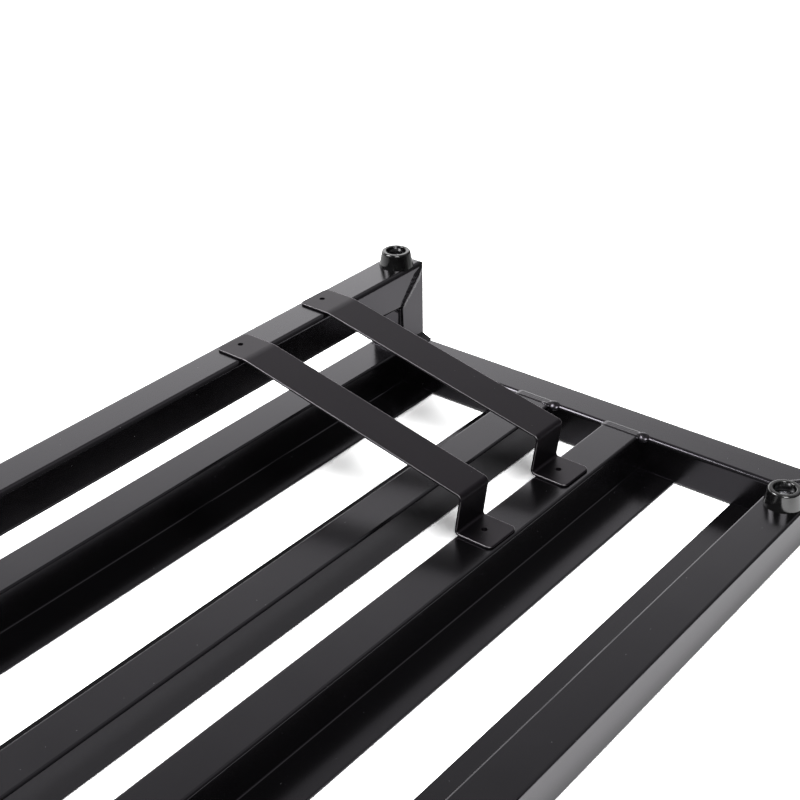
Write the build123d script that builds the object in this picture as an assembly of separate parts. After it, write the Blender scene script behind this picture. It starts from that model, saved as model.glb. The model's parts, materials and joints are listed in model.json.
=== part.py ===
from build123d import *
import os
from math import asin, cos, radians, sin, sqrt, tan

# Slatted board for effects pedals, lying deck side down with its feet in the air.
# Four flanged deck rails run between two end rails. At the rear each end rail turns
# up into a leg, and the two legs carry the base rail. Two strap brackets lie loose
# across the base rail and the third deck rail, to hold a power supply.
# Millimetres. X runs along the rails, Y from the front rail to the rear, Z up from
# the deck face. The origin is the middle of the deck face.

# Frame
LENGTH = 610.0
TUBE = 25.0
TUBE_WALL = 2.0
TUBE_RADIUS = 2.8
RAIL_RADIUS = 1.5
BORE_RADIUS = 0.8
FLANGE_WIDTH = 25.0
FLANGE_THICK = 2.0
FLANGE_FILLET = 1.0
FLANGE_TIP_RADIUS = 0.6
REAR_GAP = 42.0
MIDDLE_GAP = 38.0
FRONT_GAP = 37.5
BASE_HEIGHT = 80.5
MITRE_RADIUS = 3.0

# Welds
BEAD_WIDTH = 6.2
BEAD_HEIGHT = 0.4
SEAM_WIDTH = 4.0
SEAM_HEIGHT = 0.8
FILLET_WELD = 4.0
LEG_FILLET_WELD = 5.3
FILLET_BULGE = 0.1

# Rubber feet, each held by a screw on a washer
FOOT_BASE_D = 22.2
FOOT_TOP_D = 18.2
FOOT_HEIGHT = 10.0
FOOT_RECESS_D = 12.6
FOOT_FLOOR = 3.0
FOOT_RIM_OUTER = 1.2
FOOT_RIM_INNER = 0.7
REAR_FOOT_INSET = 15.4
REAR_FOOT_FORWARD = 1.4
FRONT_FOOT_INSET = 40.0
WASHER_D = 11.0
WASHER_THICK = 1.0
SCREW_D = 4.0
SCREW_LENGTH = 13.0
SCREW_POINT = 3.0
HEAD_D = 8.0
HEAD_HEIGHT = 2.8
HEAD_DOME = 1.4
CROSS_SPAN = 4.6
CROSS_WIDTH = 1.0
CROSS_DEPTH = 1.6
SCREW_CLEARANCE = 0.05
WASHER_CLEARANCE = 0.2

# Strap brackets, which lie loose and a little askew, the right one further back
STRAP_WIDTH = 25.0
STRAP_THICK = 1.5
STRAP_EDGE_RADIUS = 0.7
STRAP_OVERHANG = 2.4
PLATE_LENGTH = 23.0
PLATE_RADIUS = 3.5
UPPER_BEND_RADIUS = 20.0
BEND_RADIUS = 1.5
RISER_HEIGHT = 24.75
RISER_LEAN = 8.2
RISER_OVERHANG = 1.4
STRAP_HOLE_D = 3.5
UPPER_HOLE_EDGE = 7.7
LOWER_HOLE_EDGE = 13.0
BRACKET_INSET = 61.9
BRACKET_PITCH = 74.5
BRACKET_SKEW = 0.8
RIGHT_BRACKET_BACK = 1.5

# Places that follow from the sizes above
STRIP = TUBE + FLANGE_WIDTH
DEPTH = 4 * STRIP + REAR_GAP + MIDDLE_GAP + FRONT_GAP
END_OUTER = LENGTH / 2
END_INNER = END_OUTER - TUBE
REAR = DEPTH / 2
FRONT = -DEPTH / 2
BASE_FRONT = REAR - TUBE
BASE_UNDER = BASE_HEIGHT - TUBE
SECOND_FRONT = BASE_FRONT - 2 * FLANGE_WIDTH - REAR_GAP - TUBE
THIRD_FRONT = SECOND_FRONT - MIDDLE_GAP - TUBE
RIGHT_BRACKET_X = END_INNER - BRACKET_INSET
LEFT_BRACKET_X = RIGHT_BRACKET_X - BRACKET_PITCH
FLAT_EDGE = TUBE_RADIUS
SCREW_HOLE_D = SCREW_D + 2 * SCREW_CLEARANCE


def corner(sketch, x, y):
    """The vertex of a sketch that stands nearest to a point."""
    return sketch.vertices().sort_by_distance((x, y, 0))[0]


def bore_profile():
    return RectangleRounded(TUBE - 2 * TUBE_WALL, TUBE - 2 * TUBE_WALL, BORE_RADIUS)


def tube_profile():
    return RectangleRounded(TUBE, TUBE, TUBE_RADIUS) - bore_profile()


def deck_profile(side):
    """Square tube with a thin flange along its deck face, on the side +1 or -1."""
    half = TUBE / 2
    tip = side * (half + FLANGE_WIDTH)
    flange_top = FLANGE_THICK - half
    flange = Pos(tip / 2, flange_top - FLANGE_THICK / 2) * Rectangle(abs(tip), FLANGE_THICK)
    section = Rectangle(TUBE, TUBE) + flange
    tube_corners = [corner(section, half, half), corner(section, -half, half)]
    tube_corners.append(corner(section, -side * half, -half))
    section = fillet(tube_corners, RAIL_RADIUS)
    section = fillet(corner(section, side * half, flange_top), FLANGE_FILLET)
    section = fillet([corner(section, tip, flange_top), corner(section, tip, -half)], FLANGE_TIP_RADIUS)
    return section - bore_profile()


def along_x(profile, y, z, reach):
    """A profile run from -reach to +reach, its middle at y, z."""
    return extrude(Plane.YZ * Pos(y, z) * profile, amount=reach, both=True)


def edge_cutter(origin, outward, upward):
    """What rounds the sharp outer edge where two mitred tubes meet at origin."""
    across = Vector(outward).cross(Vector(upward))
    plane = Plane(origin=origin, x_dir=outward, z_dir=across)
    square = Pos(-MITRE_RADIUS / 2, -MITRE_RADIUS / 2) * Rectangle(MITRE_RADIUS, MITRE_RADIUS)
    waste = square - Pos(-MITRE_RADIUS, -MITRE_RADIUS) * Circle(MITRE_RADIUS)
    return extrude(plane * waste, amount=TUBE, both=True)


def mirrored(shape):
    return mirror(shape, about=Plane.YZ)


# Mitre planes and rounded outer edges of the right end, the left end being its mirror
LEG_MITRE = Plane(origin=(END_OUTER, 0, BASE_HEIGHT), x_dir=(0, 1, 0), z_dir=(1, 0, -1))
HEEL_MITRE = Plane(origin=(END_OUTER, REAR, 0), x_dir=(1, 0, 0), z_dir=(0, 1, 1))
FRONT_MITRE = Plane(origin=(END_OUTER, FRONT, 0), x_dir=(0, 0, 1), z_dir=(1, 1, 0))
LEG_EDGE = edge_cutter((END_OUTER, REAR - TUBE / 2, BASE_HEIGHT), (1, 0, 0), (0, 0, 1))
HEEL_EDGE = edge_cutter((END_OUTER - TUBE / 2, REAR, 0), (0, 1, 0), (0, 0, -1))
FRONT_EDGE = edge_cutter((END_OUTER, FRONT, TUBE / 2), (1, 0, 0), (0, -1, 0))


def screw_hole(x, y, top):
    return Pos(x, y, top - TUBE_WALL / 2) * Cylinder(SCREW_HOLE_D / 2, 2 * TUBE_WALL)


def base_rail():
    rail = along_x(tube_profile(), REAR - TUBE / 2, BASE_HEIGHT - TUBE / 2, END_OUTER)
    for _ in range(2):
        rail = mirrored(split(rail, bisect_by=LEG_MITRE, keep=Keep.BOTTOM) - LEG_EDGE)
    for x, y, top in FEET_REAR:
        rail -= screw_hole(x, y, top)
    return rail


def front_rail():
    """A flanged rail whose tube runs on past the flange to the mitred corners."""
    rail = along_x(deck_profile(1), FRONT + TUBE / 2, TUBE / 2, END_OUTER)
    outline = Polyline(
        (END_INNER, FRONT + TUBE),
        (END_OUTER + TUBE, FRONT - TUBE),
        (END_OUTER + TUBE, FRONT + 2 * STRIP),
        (END_INNER, FRONT + 2 * STRIP),
        close=True,
    )
    waste = extrude(make_face(outline), amount=TUBE)
    for _ in range(2):
        rail = mirrored(rail - waste - FRONT_EDGE)
    for x, y, top in FEET_FRONT:
        rail -= screw_hole(x, y, top)
    return rail


def middle_rail(front_face, side):
    return along_x(deck_profile(side), front_face + TUBE / 2, TUBE / 2, END_INNER)


def end_rail():
    plane = Plane(origin=(END_OUTER - TUBE / 2, 0, TUBE / 2), x_dir=(1, 0, 0), z_dir=(0, 1, 0))
    rail = extrude(plane * tube_profile(), amount=DEPTH / 2, both=True)
    rail = split(rail, bisect_by=HEEL_MITRE, keep=Keep.BOTTOM)
    rail = split(rail, bisect_by=FRONT_MITRE, keep=Keep.TOP)
    return rail - HEEL_EDGE - FRONT_EDGE


def rear_leg():
    leg = extrude(Pos(END_OUTER - TUBE / 2, REAR - TUBE / 2) * tube_profile(), amount=BASE_HEIGHT)
    leg = split(leg, bisect_by=HEEL_MITRE, keep=Keep.TOP)
    leg = split(leg, bisect_by=LEG_MITRE, keep=Keep.TOP)
    return leg - HEEL_EDGE - LEG_EDGE


def dome_arc(half_width, foot, height):
    """The side of a low dome, from its edge at half_width, foot up to its crown on the axis."""
    radius = (half_width**2 + height**2) / (2 * height)
    mid_angle = asin(half_width / radius) / 2
    drop = radius * (1 - cos(mid_angle))
    mid = (radius * sin(mid_angle), foot + height - drop)
    return ThreePointArc((half_width, foot), mid, (0, foot + height))


def bead(start, end, normal, width, height):
    """A low round weld bead with domed ends, lying on a flat face."""
    run = Vector(end) - Vector(start)
    half = width / 2
    arch = ThreePointArc((-half, 0), (0, height), (half, 0))
    section = make_face([arch, Line((half, 0), (-half, 0))])
    quarter = [Line((0, 0), (half, 0)), dome_arc(half, 0, height), Line((0, height), (0, 0))]
    dome = revolve(Plane.XZ * make_face(quarter), Axis.Z)
    ridge = extrude(Plane.YZ * section, amount=run.length)
    solid = ridge + dome + Pos(run.length, 0, 0) * dome
    return Plane(origin=start, x_dir=run, z_dir=normal).location * solid


def fillet_weld(start, end, first, second, size):
    """A weld in the inside corner of two flat faces, which run off along first and second."""
    run = Vector(end) - Vector(start)
    swell = size / 2 + FILLET_BULGE
    face = make_face(
        [
            Line((0, 0), (size, 0)),
            ThreePointArc((size, 0), (swell, swell), (0, size)),
            Line((0, size), (0, 0)),
        ]
    )
    plane = Plane(origin=start, x_dir=first, z_dir=Vector(first).cross(Vector(second)))
    along = 1 if plane.z_dir.dot(run) > 0 else -1
    return extrude(plane * face, amount=along * run.length)


def seam_insets():
    """How far a mitre bead's round ends stand in from the inner and the rounded outer corner."""
    inner = SEAM_WIDTH / 2
    return inner, inner + max(0, MITRE_RADIUS - inner) * (1 - sqrt(0.5))


def rail_welds():
    """Beads over the butt joints of the second and third rails, and the rear rail's corner."""
    welds = []
    x = END_INNER + TUBE_RADIUS / 2
    for front_face in (SECOND_FRONT, THIRD_FRONT):
        start = (x, front_face + RAIL_RADIUS, TUBE)
        end = (x, front_face + TUBE - RAIL_RADIUS, TUBE)
        welds.append(bead(start, end, (0, 0, 1), BEAD_WIDTH, BEAD_HEIGHT))
    start = (END_INNER, BASE_FRONT + FLAT_EDGE, TUBE)
    end = (END_INNER, REAR - FLAT_EDGE, TUBE)
    welds.append(fillet_weld(start, end, (0, 0, 1), (-1, 0, 0), FILLET_WELD))
    return welds


def leg_welds():
    """The bead on the leg's mitre, and fillets where it meets the end rail and the base rail."""
    inner, outer = seam_insets()
    start = (END_INNER + inner, BASE_FRONT, BASE_UNDER + inner)
    end = (END_OUTER - outer, BASE_FRONT, BASE_HEIGHT - outer)
    welds = [bead(start, end, (0, -1, 0), SEAM_WIDTH, SEAM_HEIGHT)]
    start = (END_INNER + FLAT_EDGE, BASE_FRONT, TUBE)
    end = (END_OUTER - FLAT_EDGE, BASE_FRONT, TUBE)
    welds.append(fillet_weld(start, end, (0, -1, 0), (0, 0, 1), LEG_FILLET_WELD))
    start = (END_INNER, BASE_FRONT + FLAT_EDGE, BASE_UNDER)
    end = (END_INNER, REAR - FLAT_EDGE, BASE_UNDER)
    welds.append(fillet_weld(start, end, (-1, 0, 0), (0, 0, -1), FILLET_WELD))
    return welds


def corner_weld():
    """The bead on the front corner's mitre."""
    inner, outer = seam_insets()
    start = (END_INNER + inner, FRONT + TUBE - inner, TUBE)
    end = (END_OUTER - outer, FRONT + outer, TUBE)
    return [bead(start, end, (0, 0, 1), SEAM_WIDTH, SEAM_HEIGHT)]


def rubber_foot():
    """A tapered foot with a rounded rim, hollow above the floor that the screw clamps."""
    hole = SCREW_D / 2 + WASHER_CLEARANCE
    base = FOOT_BASE_D / 2
    top = FOOT_TOP_D / 2
    recess = FOOT_RECESS_D / 2
    outline = Polyline(
        (hole, 0),
        (base, 0),
        (top, FOOT_HEIGHT),
        (recess, FOOT_HEIGHT),
        (recess, FOOT_FLOOR),
        (hole, FOOT_FLOOR),
        close=True,
    )
    section = make_face(outline)
    section = fillet(corner(section, top, FOOT_HEIGHT), FOOT_RIM_OUTER)
    section = fillet(corner(section, recess, FOOT_HEIGHT), FOOT_RIM_INNER)
    return revolve(Plane.XZ * section, Axis.Z)


def foot_washer():
    disc = Circle(WASHER_D / 2) - Circle(SCREW_D / 2 + WASHER_CLEARANCE)
    return extrude(Pos(0, 0, FOOT_FLOOR) * disc, amount=WASHER_THICK)


def foot_screw():
    """A pan-head tapping screw with a cross recess, its head on the washer."""
    seat = FOOT_FLOOR + WASHER_THICK
    shank = SCREW_D / 2
    head = HEAD_D / 2
    side_top = seat + HEAD_HEIGHT - HEAD_DOME
    crown = seat + HEAD_HEIGHT
    tip = seat - SCREW_LENGTH
    profile = [
        Polyline((0, tip), (shank, tip + SCREW_POINT), (shank, seat), (head, seat), (head, side_top)),
        dome_arc(head, side_top, HEAD_DOME),
        Line((0, crown), (0, tip)),
    ]
    screw = revolve(Plane.XZ * make_face(profile), Axis.Z)
    for span_x, span_y in ((CROSS_SPAN, CROSS_WIDTH), (CROSS_WIDTH, CROSS_SPAN)):
        screw -= Pos(0, 0, crown) * Box(span_x, span_y, 2 * CROSS_DEPTH)
    return screw


def strap_bracket():
    """A bent strap: a plate on the base rail, a slope, a riser and a plate on the third rail."""
    crest = BASE_FRONT - STRAP_OVERHANG
    riser = THIRD_FRONT + TUBE + RISER_OVERHANG
    knee = riser - RISER_HEIGHT * tan(radians(RISER_LEAN))
    upper_end = crest + PLATE_LENGTH
    lower_end = riser - STRAP_THICK - PLATE_LENGTH
    under = [
        Vector(upper_end, BASE_HEIGHT),
        Vector(crest, BASE_HEIGHT),
        Vector(knee, TUBE + RISER_HEIGHT),
        Vector(riser, TUBE),
        Vector(lower_end, TUBE),
    ]
    runs = [(b - a).normalized() for a, b in zip(under, under[1:])]
    sides = [Vector(run.Y, -run.X) for run in runs]
    over = [under[0] + sides[0] * STRAP_THICK]
    under_radii = []
    over_radii = []
    for i, bend in enumerate((UPPER_BEND_RADIUS, BEND_RADIUS, BEND_RADIUS)):
        spread = 1 + sides[i].dot(sides[i + 1])
        over.append(under[i + 1] + (sides[i] + sides[i + 1]) * (STRAP_THICK / spread))
        folds_down = runs[i].cross(runs[i + 1]).Z > 0
        under_radii.append(bend if folds_down else bend + STRAP_THICK)
        over_radii.append(bend + STRAP_THICK if folds_down else bend)
    over.append(under[-1] + sides[-1] * STRAP_THICK)
    outline = [
        FilletPolyline(*under, radius=under_radii),
        FilletPolyline(*over, radius=over_radii),
        Line(under[0], over[0]),
        Line(under[-1], over[-1]),
    ]
    strap = extrude(Plane.YZ * make_face(outline), amount=STRAP_WIDTH / 2, both=True)
    uprights = strap.edges().filter_by(Axis.Z).group_by(Axis.Y)
    strap = fillet(uprights[0] + uprights[-1], PLATE_RADIUS)
    long_edges = strap.faces().filter_by(Axis.X).edges().filter_by(Axis.Z, reverse=True)
    strap = fillet(long_edges, STRAP_EDGE_RADIUS)
    for y, z in ((upper_end - UPPER_HOLE_EDGE, BASE_HEIGHT), (lower_end + LOWER_HOLE_EDGE, TUBE)):
        strap -= Pos(0, y, z) * Cylinder(STRAP_HOLE_D / 2, 4 * STRAP_THICK)
    return strap


def left_and_right(build):
    """The solids of a right end, and their mirror images for the left end."""
    right = build()
    return right, [mirrored(solid) for solid in right]


# Where the feet stand: x, y and the height of the rail's face
REAR_FOOT_X = END_OUTER - REAR_FOOT_INSET
REAR_FOOT_Y = REAR - TUBE / 2 - REAR_FOOT_FORWARD
FRONT_FOOT_X = END_OUTER - FRONT_FOOT_INSET
FRONT_FOOT_Y = FRONT + TUBE / 2
FEET_REAR = [(side * REAR_FOOT_X, REAR_FOOT_Y, BASE_HEIGHT) for side in (-1, 1)]
FEET_FRONT = [(side * FRONT_FOOT_X, FRONT_FOOT_Y, TUBE) for side in (-1, 1)]
FOOT_PLACES = dict(
    zip(("rear_left", "rear_right", "front_left", "front_right"), FEET_REAR + FEET_FRONT)
)

nodes = {
    "base_rail": [base_rail()],
    "rear_deck_rail": [middle_rail(BASE_FRONT, -1)],
    "second_deck_rail": [middle_rail(SECOND_FRONT, 1)],
    "third_deck_rail": [middle_rail(THIRD_FRONT, -1)],
    "front_deck_rail": [front_rail()],
}

bracket = Rot(0, 0, -BRACKET_SKEW) * strap_bracket()
nodes["right_strap_bracket"] = [Pos(RIGHT_BRACKET_X, RIGHT_BRACKET_BACK, 0) * bracket]
nodes["left_strap_bracket"] = [Pos(LEFT_BRACKET_X, 0, 0) * bracket]

right_rail, right_leg = end_rail(), rear_leg()
nodes["right_end_rail"] = [right_rail]
nodes["left_end_rail"] = [mirrored(right_rail)]
nodes["right_rear_leg"] = [right_leg]
nodes["left_rear_leg"] = [mirrored(right_leg)]

for name, build in (("rail_welds", rail_welds), ("leg_welds", leg_welds), ("corner_weld", corner_weld)):
    nodes["right_" + name], nodes["left_" + name] = left_and_right(build)

for name, build in (("foot", rubber_foot), ("foot_washer", foot_washer), ("foot_screw", foot_screw)):
    piece = build()
    for place, (x, y, top) in FOOT_PLACES.items():
        nodes[f"{place}_{name}"] = [Pos(x, y, top) * piece]

os.makedirs("parts", exist_ok=True)
for name, solids in nodes.items():
    shape = solids[0] if len(solids) == 1 else Compound(children=solids)
    export_step(shape, f"parts/{name}.step")
print(len(nodes), "nodes,", DEPTH, "mm deep")
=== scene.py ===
# %% [markdown]
# # A frame for effects pedals, lying deck side down
# The real frame is welded from square tube and coated satin black. It lies on its deck
# with its rubber feet in the air, and two bent straps lie loose across its underside.
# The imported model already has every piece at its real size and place, so this lesson
# adds what the eye sees: the light, the finishes, and the weld beads with their ripples.

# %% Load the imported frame
import json
import math
import random

import bpy
from mathutils import Matrix, Vector


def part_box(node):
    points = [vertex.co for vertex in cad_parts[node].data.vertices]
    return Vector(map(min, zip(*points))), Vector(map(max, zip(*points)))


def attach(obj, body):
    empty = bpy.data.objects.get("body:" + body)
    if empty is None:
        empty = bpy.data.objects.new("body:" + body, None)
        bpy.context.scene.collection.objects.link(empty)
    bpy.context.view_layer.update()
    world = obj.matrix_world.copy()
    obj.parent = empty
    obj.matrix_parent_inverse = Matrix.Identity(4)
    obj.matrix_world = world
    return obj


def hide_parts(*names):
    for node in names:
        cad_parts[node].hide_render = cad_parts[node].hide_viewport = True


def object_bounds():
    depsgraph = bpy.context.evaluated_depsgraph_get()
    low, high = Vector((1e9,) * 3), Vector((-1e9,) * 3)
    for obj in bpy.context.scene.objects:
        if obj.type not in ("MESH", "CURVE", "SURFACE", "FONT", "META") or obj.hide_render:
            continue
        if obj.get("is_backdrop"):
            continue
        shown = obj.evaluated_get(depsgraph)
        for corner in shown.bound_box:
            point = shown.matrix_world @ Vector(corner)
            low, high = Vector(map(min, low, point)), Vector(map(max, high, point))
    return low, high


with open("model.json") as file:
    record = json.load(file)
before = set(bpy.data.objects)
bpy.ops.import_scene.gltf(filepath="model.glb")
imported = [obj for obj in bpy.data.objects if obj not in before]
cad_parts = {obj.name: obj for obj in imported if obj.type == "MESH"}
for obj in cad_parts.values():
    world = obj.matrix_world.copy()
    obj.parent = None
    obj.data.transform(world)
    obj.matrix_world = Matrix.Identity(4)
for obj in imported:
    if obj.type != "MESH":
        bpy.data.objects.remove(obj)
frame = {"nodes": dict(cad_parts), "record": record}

nodes = frame["nodes"]
cad_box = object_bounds()
MM = 0.001

# %% [markdown]
# ## Camera
# A camera can be aimed by eye, or worked out from straight edges whose real directions
# are known. The rails are such edges, so this place, turn and lens come from them, and
# the picture then lines up with the frame without any fitting by hand.

# %% Camera at the photograph's viewing angle
CAMERA_PLACE = Vector((-0.41088, -0.42225, 0.49455))
CAMERA_HEADING = math.radians(51.059)
CAMERA_PITCH = math.radians(29.764)
CAMERA_ROLL = math.radians(-1.027)
PICTURE_WIDTH = 800
FOCAL_LENGTH_IN_PIXELS = 1523.6

bpy.ops.object.select_all(action="DESELECT")
bpy.ops.object.camera_add()
camera = bpy.context.object
camera.name = "camera"
camera.data.lens = FOCAL_LENGTH_IN_PIXELS / PICTURE_WIDTH * camera.data.sensor_width
turn = Matrix.Rotation(-CAMERA_HEADING, 4, "Z")
tilt = Matrix.Rotation(math.pi / 2 - CAMERA_PITCH, 4, "X")
roll = Matrix.Rotation(CAMERA_ROLL, 4, "Z")
camera.matrix_world = Matrix.Translation(CAMERA_PLACE) @ turn @ tilt @ roll
bpy.context.scene.camera = camera
bpy.context.scene.view_settings.view_transform = "Standard"
print("camera lens", round(camera.data.lens, 2), "mm")

# %% [markdown]
# ## Node graphs as sums
# A finish is a graph of nodes. Placing each node and link by hand hides the idea, so a
# socket is wrapped in a small class whose sums and products add Math nodes, and every
# other node comes from one method. A Mix node has sockets of the same name for numbers,
# vectors and colours, so those for colours are found by their numbers.

# %% Sockets that can be added and multiplied
MIX_AMOUNT, MIX_FIRST, MIX_SECOND, MIX_RESULT = 0, 6, 7, 2


class Value:
    """A socket of a graph. Arithmetic on it adds Math nodes."""

    def __init__(self, graph, socket):
        self.graph = graph
        self.socket = socket

    def __add__(self, other):
        return self.graph.math("ADD", self, other)

    def __radd__(self, other):
        return self.graph.math("ADD", other, self)

    def __sub__(self, other):
        return self.graph.math("SUBTRACT", self, other)

    def __rsub__(self, other):
        return self.graph.math("SUBTRACT", other, self)

    def __mul__(self, other):
        return self.graph.math("MULTIPLY", self, other)

    def __rmul__(self, other):
        return self.graph.math("MULTIPLY", other, self)

    def __lt__(self, other):
        return self.graph.math("LESS_THAN", self, other)


class Graph:
    """The nodes of one finish, of the floor or of the world."""

    def __init__(self, owner):
        owner.use_nodes = True
        self.tree = owner.node_tree
        self.named = self.tree.nodes

    def add(self, kind, settings=None, sockets=None, output=0):
        """Adds a node, sets it up, fills its sockets and gives back one of its outputs."""
        node = self.tree.nodes.new(kind)
        for name, setting in (settings or {}).items():
            setattr(node, name, setting)
        self.fill(node, sockets or {})
        return Value(self, node.outputs[output])

    def fill(self, node, sockets):
        for name, value in sockets.items():
            if isinstance(value, Value):
                self.tree.links.new(value.socket, node.inputs[name])
            else:
                node.inputs[name].default_value = value

    def math(self, operation, *values):
        return self.add("ShaderNodeMath", {"operation": operation}, dict(enumerate(values)))

    def ramp(self, value, low, high):
        """0 below low and 1 above high, with a smooth rise between them."""
        limits = {"Value": value, "From Min": low, "From Max": high}
        return self.add("ShaderNodeMapRange", {"interpolation_type": "SMOOTHSTEP"}, limits)

    def mix(self, amount, first, second):
        """A colour between two others."""
        node = self.add("ShaderNodeMix", {"data_type": "RGBA"}).socket.node
        self.fill(node, {MIX_AMOUNT: amount, MIX_FIRST: first, MIX_SECOND: second})
        return Value(self, node.outputs[MIX_RESULT])


print("a graph's own nodes come from Graph.add, and its sums from Value")

# %% [markdown]
# ## Light
# A black satin coat shows little of its own colour. What the eye reads is the room that
# it mirrors, so the room matters more than the lamps. A bright backdrop stands behind the
# frame and fades towards the ceiling, a dim wall on the right keeps rounded front edges
# from going black, and the rest of the room is dark, so that faces turned to the camera
# stay black. Two softboxes hang above it. The one behind the frame draws the bright lines
# along rounded edges, and the one behind the camera fills the rails' shadows on the
# floor, so that only the straps still leave a faint one.

# %% Room
BACKDROP_LIGHT = 2.24
ROOM_LIGHT = 0.15
BACKDROP_HEADING = math.radians(30)
BACKDROP_EDGE = (0.5, 0.95)
FADE_FROM = math.sin(math.radians(25))
FADE_HEIGHT = 0.118
WALL_LIGHT = 0.5
WALL_HEADING = math.radians(105)
WALL_EDGE = (0.86, 0.97)
WALL_FOOT = (0.53, 0.70)
NEVER_ZERO = 0.0001

room = bpy.data.worlds.new("studio")
bpy.context.scene.world = room
graph = Graph(room)
direction = graph.add("ShaderNodeTexCoord", output="Generated")
parts = graph.add("ShaderNodeSeparateXYZ", sockets={"Vector": direction}).socket.node
across, along, up = (Value(graph, socket) for socket in parts.outputs)
camera_ray = graph.add("ShaderNodeLightPath", output="Is Camera Ray")
ahead = across * math.sin(BACKDROP_HEADING) + along * math.cos(BACKDROP_HEADING)
level = graph.math("SQRT", graph.math("MAXIMUM", 1 - up * up, NEVER_ZERO))
backdrop = graph.ramp(graph.math("DIVIDE", ahead, level), *BACKDROP_EDGE)
fade = graph.math("EXPONENT", graph.math("MINIMUM", (FADE_FROM - up) * (1 / FADE_HEIGHT), 0))
beside = across * math.sin(WALL_HEADING) + along * math.cos(WALL_HEADING)
wall = graph.ramp(graph.math("DIVIDE", beside, level), *WALL_EDGE) * graph.ramp(up, *WALL_FOOT)
light = ROOM_LIGHT + (BACKDROP_LIGHT - ROOM_LIGHT) * backdrop * fade
light = light + (WALL_LIGHT - ROOM_LIGHT) * wall
seen = light + camera_ray * (1 - light)
graph.fill(graph.named["Background"], {"Color": (1, 1, 1, 1), "Strength": seen})

print("backdrop", BACKDROP_LIGHT, "wall", WALL_LIGHT, "room", ROOM_LIGHT)

# %% Softboxes, each by its heading, height, width and power
SOFTBOX_DISTANCE = 1.6
SOFTBOXES = {
    "rear_softbox": (-23, 53, 0.68, 23.0),
    "front_softbox": (215, 55, 0.7, 20.0),
}

for name, (heading, height, width, power) in SOFTBOXES.items():
    turn = Matrix.Rotation(math.radians(-heading), 3, "Z")
    raise_up = Matrix.Rotation(math.radians(height), 3, "X")
    place = turn @ raise_up @ Vector((0, SOFTBOX_DISTANCE, 0))
    bpy.ops.object.light_add(type="AREA", location=place)
    lamp = bpy.context.object
    lamp.name = name
    lamp.data.shape = "SQUARE"
    lamp.data.size = width
    lamp.data.energy = power
    lamp.rotation_mode = "QUATERNION"
    lamp.rotation_quaternion = (-place).to_track_quat("-Z", "Y")
    lamp.visible_camera = False
    print(name, [round(part, 3) for part in place], power, "W")

# %% [markdown]
# ## Floor
# The frame stands on a white sheet. To the eye it is bright enough to be pure white in the
# open and to keep a soft grey where the straps shade it. In reflections the sheet fades
# out within a metre, and sooner in front, as on a photographer's table, so that the rubber
# In reflections it is also painted dimmer between the rails, as painted shade,
# and painted brighter in a strip just in front of the frame, as painted light.

# %% Floor
FLOOR_SIZE = 30
FLOOR_DROP = 0.2 * MM
FLOOR_WHITE = 0.8
FLOOR_TO_CAMERA = 2.35
FLOOR_MIRRORED = 1.0
# Painted shade and light in reflections: half as bright inside the frame, brighter just in
# front.
PAINTED_SHADE_INSIDE = 0.5
PAINTED_LIGHT_AHEAD = 1.7
SHEET_EDGE = (0.45, 0.8)
SHEET_FRONT = (0.26, 0.42)
SHADE_EDGE = (0.88, 1.0)
AHEAD_BLEND = 10 * MM

bpy.ops.object.select_all(action="DESELECT")
bpy.ops.mesh.primitive_plane_add(size=FLOOR_SIZE, location=(0, 0, -FLOOR_DROP))
floor = bpy.context.object
floor.name = "floor"
sheet = bpy.data.materials.new("white_floor")
floor.data.materials.append(sheet)
graph = Graph(sheet)
rays = graph.add("ShaderNodeLightPath").socket.node
to_camera, glossy, through = (
    Value(graph, rays.outputs[kind])
    for kind in ("Is Camera Ray", "Is Glossy Ray", "Is Transmission Ray")
)
mirrored = graph.math("MAXIMUM", glossy, through)
white = FLOOR_WHITE + to_camera * (FLOOR_TO_CAMERA - FLOOR_WHITE)
place = graph.add("ShaderNodeTexCoord", output="Object")
reach = graph.add("ShaderNodeVectorMath", {"operation": "LENGTH"}, {0: place}, output="Value")
spot = graph.add("ShaderNodeSeparateXYZ", sockets={"Vector": place}).socket.node
to_right, to_back = (Value(graph, spot.outputs[axis]) for axis in ("X", "Y"))
(_, front, _), (right, back, _) = cad_box
edge = graph.math(
    "MAXIMUM",
    graph.math("ABSOLUTE", to_right) * (1 / right),
    graph.math("ABSOLUTE", to_back) * (1 / back),
)
outside = graph.ramp(edge, *SHADE_EDGE)
in_front = 1 - graph.ramp(to_back, front - AHEAD_BLEND, front)
# Reflections of the sheet: painted shade inside the frame, painted light just in front of it.
sheet_white = PAINTED_SHADE_INSIDE + outside * (FLOOR_MIRRORED - PAINTED_SHADE_INSIDE)
sheet_white = sheet_white + in_front * (PAINTED_LIGHT_AHEAD - FLOOR_MIRRORED)
sheet_white = sheet_white * (1 - graph.ramp(reach, *SHEET_EDGE))
sheet_white = sheet_white * (1 - graph.ramp(to_back * -1, *SHEET_FRONT))
white = white + mirrored * (sheet_white - FLOOR_WHITE)
tone = graph.add("ShaderNodeCombineColor", sockets={"Red": white, "Green": white, "Blue": white})
surface = graph.add("ShaderNodeBsdfDiffuse", sockets={"Color": tone})
graph.fill(graph.named["Material Output"], {"Surface": surface})
floor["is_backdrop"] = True
print("floor", FLOOR_SIZE, "m wide")

# %% [markdown]
# ## Powder coat
# Powder coat is sprayed on dry and melted in an oven. It levels out almost flat, and what
# stays is a faint orange peel a millimetre or two across, slow changes of gloss, and the
# odd speck of dust. All of these are noise in the object's own space, at their real size.

# %% Noise and specks
def grain(graph, place, size, detail=2.0):
    """Noise whose lumps are about size metres across, from 0 to 1."""
    sockets = {"Vector": place, "Scale": 1 / size, "Detail": detail}
    return graph.add("ShaderNodeTexNoise", sockets=sockets, output="Fac")


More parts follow.
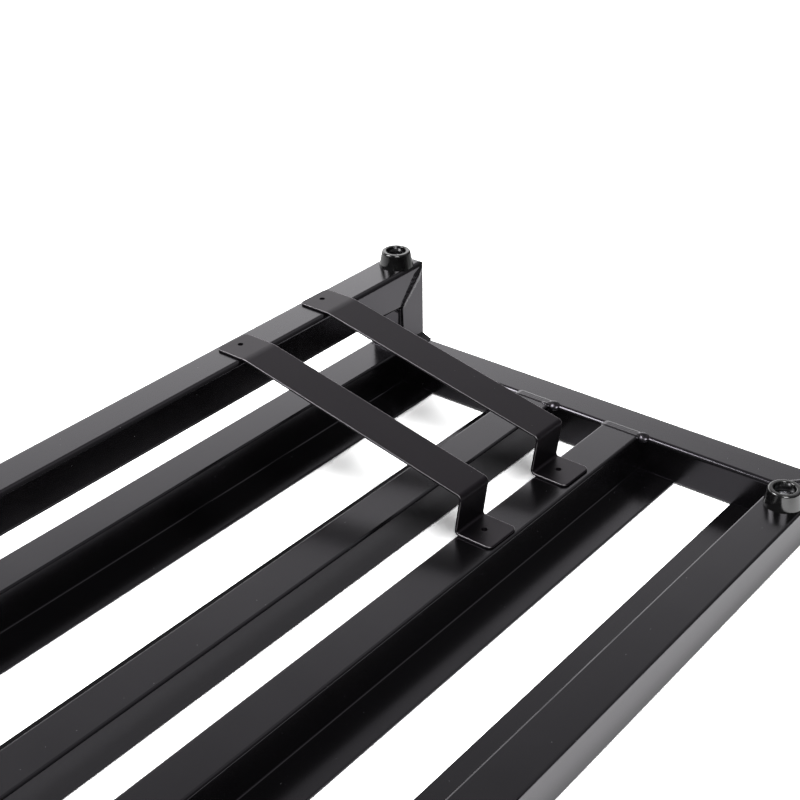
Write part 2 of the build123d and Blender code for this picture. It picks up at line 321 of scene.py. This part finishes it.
def specks(graph, place, spacing, radius, share):
    """1 inside rare round specks and 0 elsewhere."""
    settings = {"feature": "F1", "distance": "EUCLIDEAN"}
    cells = graph.add("ShaderNodeTexVoronoi", settings, {"Vector": place, "Scale": 1 / spacing})
    node = cells.socket.node
    near = Value(graph, node.outputs["Distance"]) < radius / spacing
    colour = Value(graph, node.outputs["Color"])
    lot = graph.add("ShaderNodeSeparateXYZ", sockets={"Vector": colour})
    return near * (lot < share)


print("noise and specks are placed in a piece's own space")

# %% [markdown]
# ## Painted highlights on the strap edges
# On the straps, fine bright lines along the long edges are painted highlights, drawn as grey
# polished metal.
# A mask could be painted by hand, but the way that a face points already tells the edges
# from the flat sides, so the mask is worked out from that.

# %% Painted highlight along the edges of a strap
LEFT_FACING = (0.40, 0.50)
FULLY_LEFT = (0.70, 0.80)
RIGHT_FACING = (0.12, 0.30)
UP_FACING = (0.2, 0.4)
# Painted highlight lines: left edges face the rear softbox and catch some of their own, so less
# is painted there.
LEFT_EDGE_HIGHLIGHT = 0.65
RISER_FOOT = (28 * MM, 29 * MM)
RISER_TOP = (47 * MM, 48 * MM)


def painted_edge_highlight(graph, place):
    """The painted highlight along a strap's long edges, which face along X. Its flat sides have
    none.
    """
    normal = graph.add("ShaderNodeNewGeometry", output="Normal")
    facing = graph.add("ShaderNodeSeparateXYZ", sockets={"Vector": normal}).socket.node
    to_right, _, upward = (Value(graph, socket) for socket in facing.outputs)
    height = graph.add("ShaderNodeSeparateXYZ", sockets={"Vector": place}, output="Z")
    to_left = to_right * -1
    # The long edges are found by the way they face, and the painted highlight lines go there.
    left_edge = graph.ramp(to_left, *LEFT_FACING) * (1 - graph.ramp(to_left, *FULLY_LEFT))
    right_edge = graph.ramp(to_right, *RIGHT_FACING)
    on_riser = graph.ramp(height, *RISER_FOOT) * (1 - graph.ramp(height, *RISER_TOP))
    in_sight = graph.math("MAXIMUM", on_riser, graph.ramp(upward, *UP_FACING))
    return (LEFT_EDGE_HIGHLIGHT * left_edge + right_edge) * in_sight


print("left edges have", LEFT_EDGE_HIGHLIGHT, "of the wear of right ones")

# %% Powder coat on the frame, the welds and the brackets
CLOUD_SIZE = 35 * MM
PEEL_SIZE = 1.6 * MM
DUST_SPACING, DUST_RADIUS, DUST_SHARE = 4 * MM, 0.17 * MM, 0.16
DUST_COVER = 0.5
DARKER_COAT = (0.0015, 0.0014, 0.0016, 1)
LIGHTER_COAT = (0.0022, 0.0021, 0.0023, 1)
DUST_GREY = (0.30, 0.30, 0.31, 1)
# Grey polished metal, the colour of the painted edge highlights.
EDGE_HIGHLIGHT_GREY = (0.60, 0.59, 0.60, 1)
CLOUD_DULLNESS = 0.07
DUST_DULLNESS = 0.25
EDGE_HIGHLIGHT_POLISH = 0.15


def powder_coat(name, dullness, shine, tint, peel_depth, painted_highlight=0):
    """A satin black coat: its roughness, mirror strength and tint, orange peel, painted edge
    highlights.
    """
    coat = bpy.data.materials.new(name)
    graph = Graph(coat)
    place = graph.add("ShaderNodeTexCoord", output="Object")
    clouds = grain(graph, place, CLOUD_SIZE)
    dust = specks(graph, place, DUST_SPACING, DUST_RADIUS, DUST_SHARE)
    shade = graph.mix(clouds, DARKER_COAT, LIGHTER_COAT)
    shade = graph.mix(dust * DUST_COVER, shade, DUST_GREY)
    roughness = dullness + CLOUD_DULLNESS * (clouds - 0.5) + DUST_DULLNESS * dust
    peel = grain(graph, place, PEEL_SIZE, 1.0)
    bump = graph.add(
        "ShaderNodeBump",
        sockets={"Strength": 1.0, "Distance": peel_depth, "Height": peel},
        output="Normal",
    )
    shader = graph.named["Principled BSDF"]
    # Painted highlights: the straps' long edges turn to grey, glossier metal.
    if painted_highlight:
        highlight_mask = painted_edge_highlight(graph, place) * painted_highlight
        shade = graph.mix(highlight_mask, shade, EDGE_HIGHLIGHT_GREY)
        roughness = roughness - EDGE_HIGHLIGHT_POLISH * highlight_mask
        graph.fill(shader, {"Metallic": highlight_mask})
    graph.fill(shader, {"Base Color": shade, "Roughness": roughness, "Normal": bump})
    graph.fill(shader, {"Specular IOR Level": shine, "Specular Tint": tint})
    return coat


FRAME_TINT = (0.94, 0.89, 1.0, 1)
BRACKET_TINT = (0.96, 0.80, 1.0, 1)
SMOOTH_PEEL = 0.0015 * MM
WELD_PEEL = 0.003 * MM
# Strength of the painted highlights on the straps' edges.
BRACKET_EDGE_HIGHLIGHT = 0.45

finishes = {
    "frame_coat": powder_coat("satin_black", 0.20, 0.70, FRAME_TINT, SMOOTH_PEEL),
    "weld_coat": powder_coat("weld_black", 0.26, 0.70, FRAME_TINT, WELD_PEEL),
    "bracket_coat": powder_coat(
        "bracket_black", 0.40, 0.35, BRACKET_TINT, SMOOTH_PEEL, BRACKET_EDGE_HIGHLIGHT
    ),
}
print("coats:", ", ".join(finishes))

# %% [markdown]
# ## Rubber and steel
# The feet are moulded rubber, smooth enough to shine on the rim. A plated screw and its
# washer sit at the bottom of each recess, where the plating has gone a little blotchy.

# %% Rubber feet, plated screws and washers
BLOOM_SIZE, BLOOM_DULLNESS = 6 * MM, 0.06
GRIT_SIZE, GRIT_DEPTH = 0.5 * MM, 0.008 * MM
STAIN_SIZE, STAIN_SHADE, STAIN_DULLNESS = 1.5 * MM, 0.8, 0.12


def moulded_rubber():
    rubber = bpy.data.materials.new("moulded_rubber")
    graph = Graph(rubber)
    place = graph.add("ShaderNodeTexCoord", output="Object")
    bloom = grain(graph, place, BLOOM_SIZE)
    grit = grain(graph, place, GRIT_SIZE)
    shade = graph.mix(bloom, (0.002, 0.002, 0.0021, 1), (0.004, 0.0039, 0.0041, 1))
    bump = graph.add(
        "ShaderNodeBump", sockets={"Distance": GRIT_DEPTH, "Height": grit}, output="Normal"
    )
    roughness = 0.10 + BLOOM_DULLNESS * bloom
    shader = graph.named["Principled BSDF"]
    graph.fill(shader, {"Base Color": shade, "Roughness": roughness, "Normal": bump})
    graph.fill(shader, {"Specular IOR Level": 0.9})
    return rubber


def plated_steel(name, colour, dullness):
    steel = bpy.data.materials.new(name)
    graph = Graph(steel)
    place = graph.add("ShaderNodeTexCoord", output="Object")
    stain = grain(graph, place, STAIN_SIZE)
    shade = graph.mix(stain, colour, tuple(STAIN_SHADE * part for part in colour[:3]) + (1,))
    shader = graph.named["Principled BSDF"]
    roughness = dullness + STAIN_DULLNESS * (stain - 0.5)
    graph.fill(shader, {"Base Color": shade, "Roughness": roughness, "Metallic": 1.0})
    return steel


finishes["rubber"] = moulded_rubber()
finishes["zinc_washer"] = plated_steel("zinc_plate", (0.62, 0.62, 0.64, 1), 0.38)
finishes["plated_screw"] = plated_steel("bright_plate", (0.70, 0.70, 0.72, 1), 0.26)

for part in frame["record"]["subparts"]:
    nodes[part["node"]].data.materials[0] = finishes[part["material_slot"]]

# %% [markdown]
# ## Weld beads
# A welder lays a bead as a row of small pools of metal, each freezing half over the one
# before, and the coat softens what is left of the ripples. A smooth ridge with a pattern
# on it would look false from the side, so one pool is modelled and copied along every
# seam, with small differences of place and size. Joined, remeshed and relaxed, the copies
# melt into one skin, as the metal did.

# %% One pool of weld metal, drawn out where the bead runs on and narrower below
POOL_FRONT, DRAWN_OUT = 0.3, (0.15, 0, -0.05)
POOL_FOOT, NARROWED = -0.4, (0.85, 0.85, 1)


def pick(obj, wanted):
    """Opens a mesh for editing with only the vertices selected whose place passes a test."""
    bpy.ops.object.mode_set(mode="EDIT")
    bpy.ops.mesh.select_mode(type="VERT")
    bpy.ops.mesh.select_all(action="DESELECT")
    bpy.ops.object.mode_set(mode="OBJECT")
    for vertex in obj.data.vertices:
        vertex.select = wanted(vertex.co)
    bpy.ops.object.mode_set(mode="EDIT")


bpy.ops.object.select_all(action="DESELECT")
bpy.ops.mesh.primitive_uv_sphere_add(segments=24, ring_count=14, radius=1)
pool = bpy.context.object
pool.name = "weld_pool"
pick(pool, lambda place: place.x > POOL_FRONT)
bpy.ops.transform.translate(value=DRAWN_OUT)
pick(pool, lambda place: place.z < POOL_FOOT)
bpy.ops.transform.resize(value=NARROWED)
bpy.ops.object.mode_set(mode="OBJECT")
print("pool of", len(pool.data.polygons), "faces")

# %% Copies of the pool melted into one skin
VOXEL = 0.25 * MM
RELAX_STEPS, RELAX_SHARE = 12, 0.5


def choose(objects):
    bpy.ops.object.select_all(action="DESELECT")
    for obj in objects:
        obj.select_set(True)
    bpy.context.view_layer.objects.active = objects[0]


def copy_pool(place, axes, half_sizes):
    choose([pool])
    bpy.ops.object.duplicate()
    copy = bpy.context.object
    copy.matrix_world = Matrix.Translation(place) @ axes @ Matrix.Diagonal((*half_sizes, 1))
    return copy


def melt(copies):
    """One skin over overlapping copies, with its creases relaxed."""
    choose(copies)
    bpy.ops.object.transform_apply(location=True, rotation=True, scale=True)
    bpy.ops.object.join()
    bead = bpy.context.object
    bpy.ops.object.modifier_add(type="REMESH")
    bead.modifiers[-1].mode = "VOXEL"
    bead.modifiers[-1].voxel_size = VOXEL
    bpy.ops.object.modifier_apply(modifier=bead.modifiers[-1].name)
    bpy.ops.object.modifier_add(type="SMOOTH")
    bead.modifiers[-1].factor = RELAX_SHARE
    bead.modifiers[-1].iterations = RELAX_STEPS
    bpy.ops.object.modifier_apply(modifier=bead.modifiers[-1].name)
    return bead


print("voxel", VOXEL / MM, "mm, relaxed", RELAX_STEPS, "times")

# %% A run of pools along a seam
POOL_SPACING = 0.5
LARGEST_AT = 0.75
SIZE_SPREAD = 0.04
SWAY_SPREAD = 0.05
END_RISE = 0.6
ONE_ROW = ((Vector(), 1),)


def lay_run(
    chance, start, end, face, half_sizes, rise, grow=(1, 1, 1), rows=ONE_ROW, extra=()
):
    """A bead on a face, its pools half_sizes large and risen over the face, in one row or more.
    Their sizes change from the start to three quarters of the way, and again to the end."""
    along = (end - start).normalized()
    across = face.cross(along)
    axes = Matrix((along, across, face)).transposed().to_4x4()
    count = round((end - start).length / (POOL_SPACING * half_sizes[0]))
    copies = list(extra)
    for step in range(count + 1):
        share = step / count
        if share < LARGEST_AT:
            size = grow[0] + (grow[1] - grow[0]) * share / LARGEST_AT
        else:
            size = grow[1] + (grow[2] - grow[1]) * (share - LARGEST_AT) / (1 - LARGEST_AT)
        size *= chance.uniform(1 - SIZE_SPREAD, 1 + SIZE_SPREAD)
        sizes = [size * half for half in half_sizes]
        for offset, part in rows:
            lift = part * rise * size * (END_RISE if step in (0, count) else 1) - sizes[2]
            sway = chance.uniform(-SWAY_SPREAD, SWAY_SPREAD) * half_sizes[1]
            place = start.lerp(end, share) + offset * size + face * lift + across * sway
            copies.append(copy_pool(place, axes, sizes))
    return melt(copies)


def lump(place, along, face, half_sizes):
    """A single larger pool, where a bead starts or stops."""
    axes = Matrix((along, face.cross(along), face)).transposed().to_4x4()
    return copy_pool(place, axes, [half * MM for half in half_sizes])


print("a pool is copied every", POOL_SPACING, "of its half length")

# %% [markdown]
# ## Fillets
# In an inside corner the metal runs up both faces and sinks between them. Rows of pools
# alone would leave a lumpy wedge there, so a block with its outer edge bevelled to a
# hollow gives the section, and one run of low, wide pools on it gives the ripples.

# %% A dished weld in an inside corner
DISHED, NEARLY_FLAT = 0.13, 0.2
CUT_PERCENT, CUT_STEPS = 93, 8
RIPPLE_LENGTH, RIPPLE_DEPTH, RIPPLE_RISE = 1.9 * MM, 1.0 * MM, 0.1 * MM
RIPPLE_WIDTH, RIPPLE_PLACE = 0.4, 0.3
SLANT_CLEARANCE = 2 * MM


def lay_fillet(
    chance, start, end, first, second, first_size, second_size, fullness=DISHED, slant=0
):
    """A weld in an inside corner, whose faces run off along first and second. Its far end
    can slant, and is then shorter in the corner than at its toe."""
    along = end - start
    bpy.ops.object.select_all(action="DESELECT")
    bpy.ops.mesh.primitive_cube_add(size=1, location=(0.5, 0.5, 0.5))
    block = bpy.context.object
    bpy.ops.object.transform_apply(location=True)
    block.matrix_world = Matrix.Diagonal((along.length, first_size, second_size, 1))
    bpy.ops.object.transform_apply(scale=True)
    pick(block, lambda place: place.y > 0.5 * first_size and place.z > 0.5 * second_size)
    bpy.ops.mesh.bevel(
        offset_type="PERCENT",
        offset=0,
        offset_pct=CUT_PERCENT,
        segments=CUT_STEPS,
        profile=fullness,
        affect="EDGES",
    )
    bpy.ops.object.mode_set(mode="OBJECT")
    for vertex in block.data.vertices:
        if vertex.co.x > 0.5 * along.length:
            vertex.co.x -= slant * (1 - vertex.co.y / first_size)
    sense = 1 if first.cross(second).dot(along) > 0 else -1
    axes = Matrix((sense * first.cross(second), first, second)).transposed().to_4x4()
    block.matrix_world = Matrix.Translation(start) @ axes
    face = (first + second).normalized()
    middle = RIPPLE_PLACE * (first_size * first + second_size * second)
    ripple = (RIPPLE_LENGTH, RIPPLE_WIDTH * first_size, RIPPLE_DEPTH)
    short = slant + SLANT_CLEARANCE if slant else 0
    last = end + middle - short * along.normalized()
    return lay_run(chance, start + middle, last, face, ripple, RIPPLE_RISE, extra=[block])


print("ripples on a fillet rise", RIPPLE_RISE / MM, "mm")

# %% [markdown]
# ## Where the welds are
# Each end of the frame has the same welds: a low bead across the top of each joint of the
# second and third rails, ending in a lump where the welder pulled away, a raised bead on
# each mitre, and fillets in the inside corners round the leg. Their places come from the
# boxes of the tubes that they join, so they stay on the seams.

# %% Edges of the tubes that the welds join
rail_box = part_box("right_end_rail")
base_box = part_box("base_rail")
INNER, OUTER = rail_box[0][0], rail_box[1][0]
FRONT, DECK = rail_box[0][1], rail_box[1][2]
LEG_FRONT, LEG_BACK = base_box[0][1], base_box[1][1]
BASE_UNDER, BASE_TOP = base_box[0][2], base_box[1][2]
TUBE = OUTER - INNER
SECOND_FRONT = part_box("second_deck_rail")[0][1]
THIRD_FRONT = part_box("third_deck_rail")[1][1] - TUBE
print("tube", round(TUBE / MM, 2), "mm wide, deck rails", round(DECK / MM, 2), "mm high")

# %% Seams of one end

def rail_runs(at, toward, chance):
    low_bead = (2.0 * MM, 2.2 * MM, 0.9 * MM)
    up, inward = toward(0, 0, 1), toward(-1, 0, 0)
    back, tilted = toward(0, 1, 0), toward(-0.5, 0, 0.87)
    rows = [(shift * MM * inward, 1) for shift in (-1.6, 0, 1.6)]
    runs = []
    for front in (SECOND_FRONT, THIRD_FRONT):
        drop = at(INNER + 0.8 * MM, front - 2.0 * MM, DECK - 1.3 * MM)
        end_lumps = [lump(drop, back, tilted, (4.2, 3.6, 2.0))]
        if front == SECOND_FRONT:
            spatter = at(INNER - 2.4 * MM, front + 3.0 * MM, DECK - 0.2 * MM)
            end_lumps.append(lump(spatter, back, tilted, (1.6, 1.5, 1.0)))
        start = at(INNER + 0.6 * MM, front + 1 * MM, DECK)
        end = at(INNER + 0.6 * MM, front + TUBE - 1.5 * MM, DECK)
        bead = lay_run(chance, start, end, up, low_bead, 0.34 * MM, rows=rows, extra=end_lumps)
        runs.append(bead)
    start = at(INNER, LEG_FRONT + 2.0 * MM, DECK)
    end = at(INNER, LEG_BACK - 2.5 * MM, DECK)
    runs.append(lay_fillet(chance, start, end, up, inward, 4 * MM, 4 * MM))
    return runs


def leg_runs(at, toward, chance):
    ridge = (2.0 * MM, 1.9 * MM, 2.2 * MM)
    up, down = toward(0, 0, 1), toward(0, 0, -1)
    inward, forward = toward(-1, 0, 0), toward(0, -1, 0)
    start = at(INNER + 1.5 * MM, LEG_FRONT, BASE_UNDER + 1.5 * MM)
    end = at(OUTER - 3.2 * MM, LEG_FRONT, BASE_TOP - 3.2 * MM)
    slope = 1.4 * MM * toward(1, 0, -1)
    steps = ((-2.6, 0), (-1.7, 0.27), (-0.85, 0.63), (0, 1), (1.05, 0.68), (2.1, 0.28))
    rows = [(step * slope, part) for step, part in steps]
    seam = lay_run(chance, start, end, forward, ridge, 1.5 * MM, (0.75, 1.1, 0.45), rows)
    start = at(INNER + 1.0 * MM, LEG_FRONT, DECK)
    end = at(OUTER - 0.2 * MM, LEG_FRONT, DECK)
    toe = lay_fillet(chance, start, end, forward, up, 6.4 * MM, 4.5 * MM, NEARLY_FLAT, 2.0 * MM)
    start = at(INNER, LEG_FRONT + 2.0 * MM, BASE_UNDER)
    end = at(INNER, LEG_BACK - 2.5 * MM, BASE_UNDER)
    return [seam, toe, lay_fillet(chance, start, end, inward, down, 4 * MM, 4 * MM)]


def corner_runs(at, toward, chance):
    ridge = (2.0 * MM, 2.6 * MM, 1.6 * MM)
    start = at(INNER + 1.5 * MM, FRONT + TUBE - 1.5 * MM, DECK)
    end = at(OUTER - 3.2 * MM, FRONT + 3.2 * MM, DECK)
    seam = lay_run(chance, start, end, toward(0, 0, 1), ridge, 0.6 * MM)
    return [seam]


SEAMS = {"rail_welds": rail_runs, "leg_welds": leg_runs, "corner_weld": corner_runs}
print("welds of one end:", ", ".join(SEAMS))

# %% A piece for each weld node
for seed, end_name in enumerate(("right", "left")):
    side = 1 if end_name == "right" else -1
    chance = random.Random(seed)
    for weld_name, make_runs in SEAMS.items():
        node = f"{end_name}_{weld_name}"
        runs = make_runs(
            lambda x, y, z: Vector((side * x, y, z)),
            lambda x, y, z: Vector((side * x, y, z)).normalized(),
            chance,
        )
        choose(runs)
        if len(runs) > 1:
            bpy.ops.object.join()
        bpy.ops.object.shade_smooth()
        piece = bpy.context.object
        piece.name = f"{node}_beads"
        piece.data.materials.clear()
        piece.data.materials.append(finishes["weld_coat"])
        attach(piece, "frame")
        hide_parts(node)
        print(piece.name, len(piece.data.polygons), "faces")

choose([pool])
bpy.ops.object.delete()

# %% Size of the finished model
boxes = {"cad": cad_box, "visual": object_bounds()}
size = [round((top - foot) / MM, 1) for foot, top in zip(*boxes["visual"])]
print("finished size in mm:", size)
